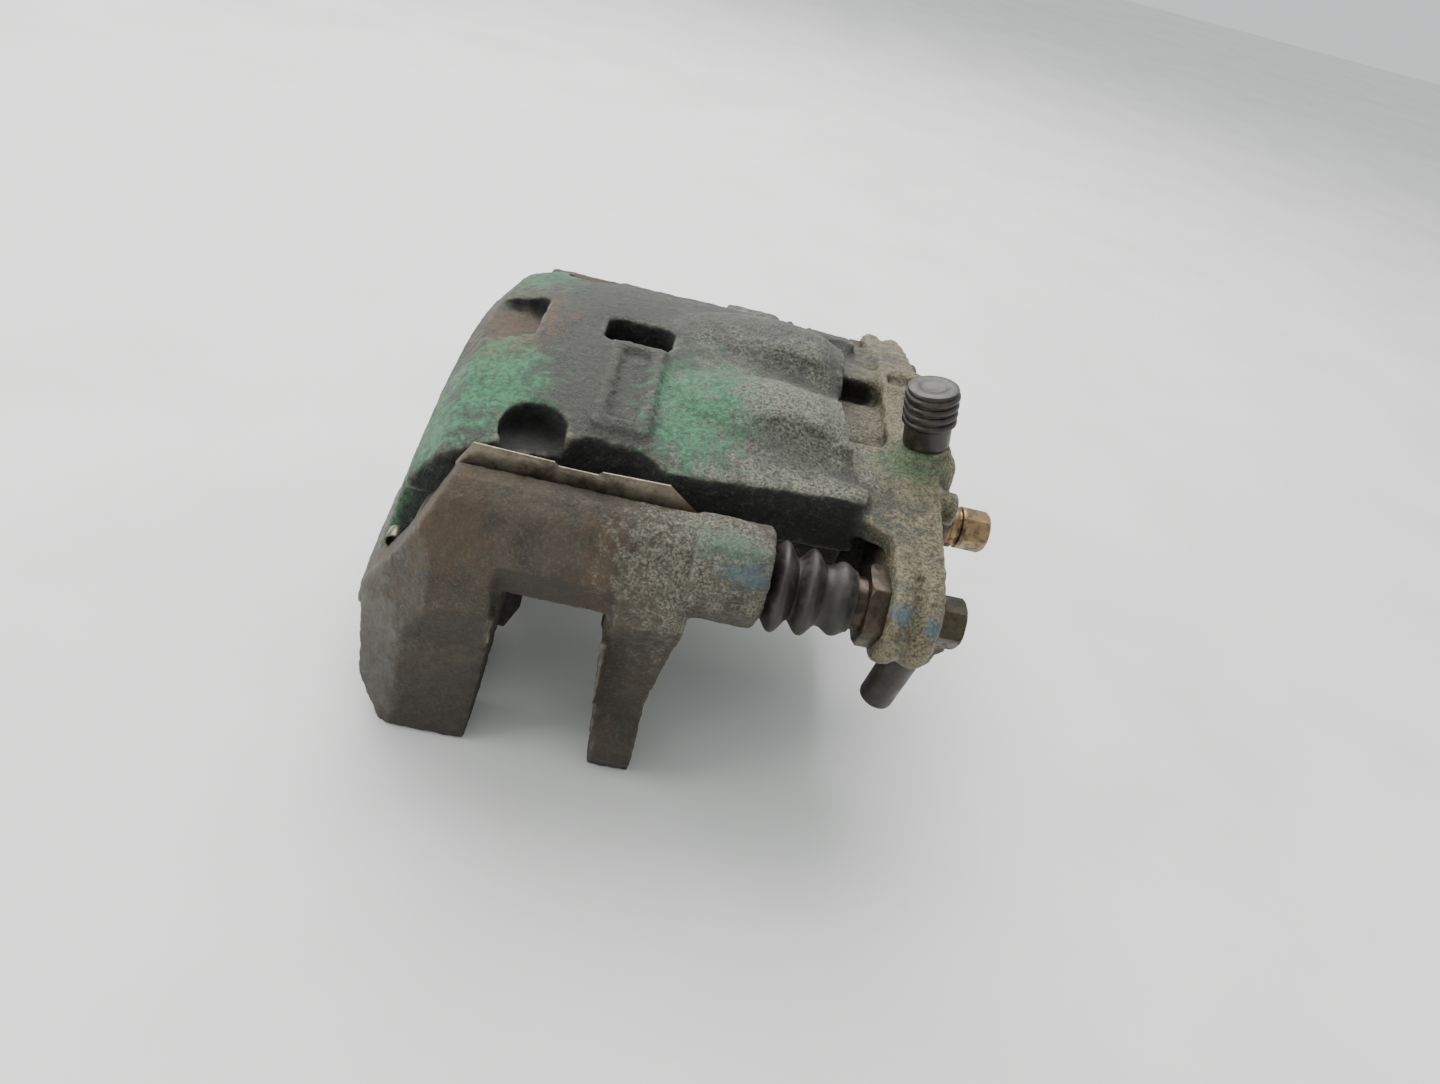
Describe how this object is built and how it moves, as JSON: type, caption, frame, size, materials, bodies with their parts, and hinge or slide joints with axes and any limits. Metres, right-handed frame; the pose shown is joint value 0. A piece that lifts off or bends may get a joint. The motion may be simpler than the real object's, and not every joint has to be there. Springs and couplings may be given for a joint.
{
  "type": "disc brake caliper",
  "caption": "Sliding disc brake caliper: cast housing on guide pins in a carrier bracket, with hollow piston, pads, clips, gaiters and bleed screws.",
  "frame": {"origin": "midway between the two knuckle bolt holes, on the carrier's mounting face", "axes": "+X inboard along the disc's axis, +Y along the disc's edge, +Z radially outward from the disc's centre, bridge on top"},
  "size_m": [0.1782, 0.164, 0.1173],
  "materials": {
    "carrier_iron": "weathered grey-brown cast iron with surface rust",
    "clip_steel": "tarnished spring steel sheet",
    "housing_iron": "grey cast iron with worn green paint and patina",
    "pin_steel": "oxidised steel",
    "seal_rubber": "smooth seal rubber",
    "bolt_steel": "tarnished zinc plated steel",
    "boot_rubber": "dusty gaiter rubber",
    "piston_steel": "ground and chrome plated steel",
    "fitting_brass": "dull yellow passivated fitting",
    "cap_rubber": "aged ribbed rubber",
    "washer_copper": "soft copper seal washer",
    "lining": "pressed friction compound",
    "pad_plate": "black painted steel back plate",
    "shim_steel": "rubber coated steel shim"
  },
  "bodies": {
    "carrier": {"carrier_bracket": "carrier_iron", "pad_clip_near": "clip_steel", "pad_clip_far": "clip_steel", "pin_boot_near": "boot_rubber", "pin_boot_far": "boot_rubber"},
    "housing": {"caliper_housing": "housing_iron", "guide_pin_near": "pin_steel", "guide_pin_far": "pin_steel", "guide_pin_bush": "seal_rubber", "guide_pin_bolts": "bolt_steel", "piston_seal": "seal_rubber", "piston_dust_boot": "boot_rubber", "hose_port_washer": "washer_copper", "hose_port_bolt": "fitting_brass"},
    "piston": {"piston": "piston_steel"},
    "inner_pad": {"inner_pad_lining": "lining", "inner_pad_plate": "pad_plate", "inner_pad_shim": "shim_steel"},
    "outer_pad": {"outer_pad_lining": "lining", "outer_pad_plate": "pad_plate", "outer_pad_shim": "shim_steel"},
    "bleed_screw": {"bleed_screw": "fitting_brass"},
    "bleed_cap": {"bleed_screw_cap": "cap_rubber"},
    "lower_bleed_screw": {"lower_bleed_screw": "fitting_brass"},
    "lower_bleed_cap": {"lower_bleed_cap": "cap_rubber"}
  },
  "joints": [
    {"name": "caliper_slide", "type": "slide", "parent": "carrier", "child": "housing", "axis": [1, 0, 0], "range_m": [0, 0.009], "deforming": ["pin_boot_near", "pin_boot_far"]},
    {"name": "piston_slide", "type": "slide", "parent": "housing", "child": "piston", "axis": [-1, 0, 0], "range_m": [0, 0.018], "deforming": ["piston_dust_boot"]},
    {"name": "inner_pad_slide", "type": "slide", "parent": "carrier", "child": "inner_pad", "axis": [-1, 0, 0], "range_m": [0, 0.009]},
    {"name": "outer_pad_slide", "type": "slide", "parent": "carrier", "child": "outer_pad", "axis": [1, 0, 0], "range_m": [0, 0.009]},
    {"name": "bleed_screw_turn", "type": "hinge", "parent": "housing", "child": "bleed_screw", "pos_m": [0.062, -0.021, 0.0845], "axis": [-0.2079, 0, 0.9781], "range_deg": [0, 270]},
    {"name": "bleed_cap_pull", "type": "slide", "parent": "bleed_screw", "child": "bleed_cap", "axis": [-0.2079, 0, 0.9781], "range_m": [0, 0.015]},
    {"name": "lower_bleed_turn", "type": "hinge", "parent": "housing", "child": "lower_bleed_screw", "pos_m": [0.069, -0.055, 0.037], "axis": [-0.1564, 0, -0.9877], "range_deg": [0, 270]},
    {"name": "lower_cap_pull", "type": "slide", "parent": "lower_bleed_screw", "child": "lower_bleed_cap", "axis": [-0.1564, 0, -0.9877], "range_m": [0, 0.015]}
  ],
  "couplings": [
    {"joint": "piston_slide", "follows": "caliper_slide", "ratio": 2},
    {"joint": "inner_pad_slide", "follows": "caliper_slide", "ratio": 1},
    {"joint": "outer_pad_slide", "follows": "caliper_slide", "ratio": 1}
  ]
}
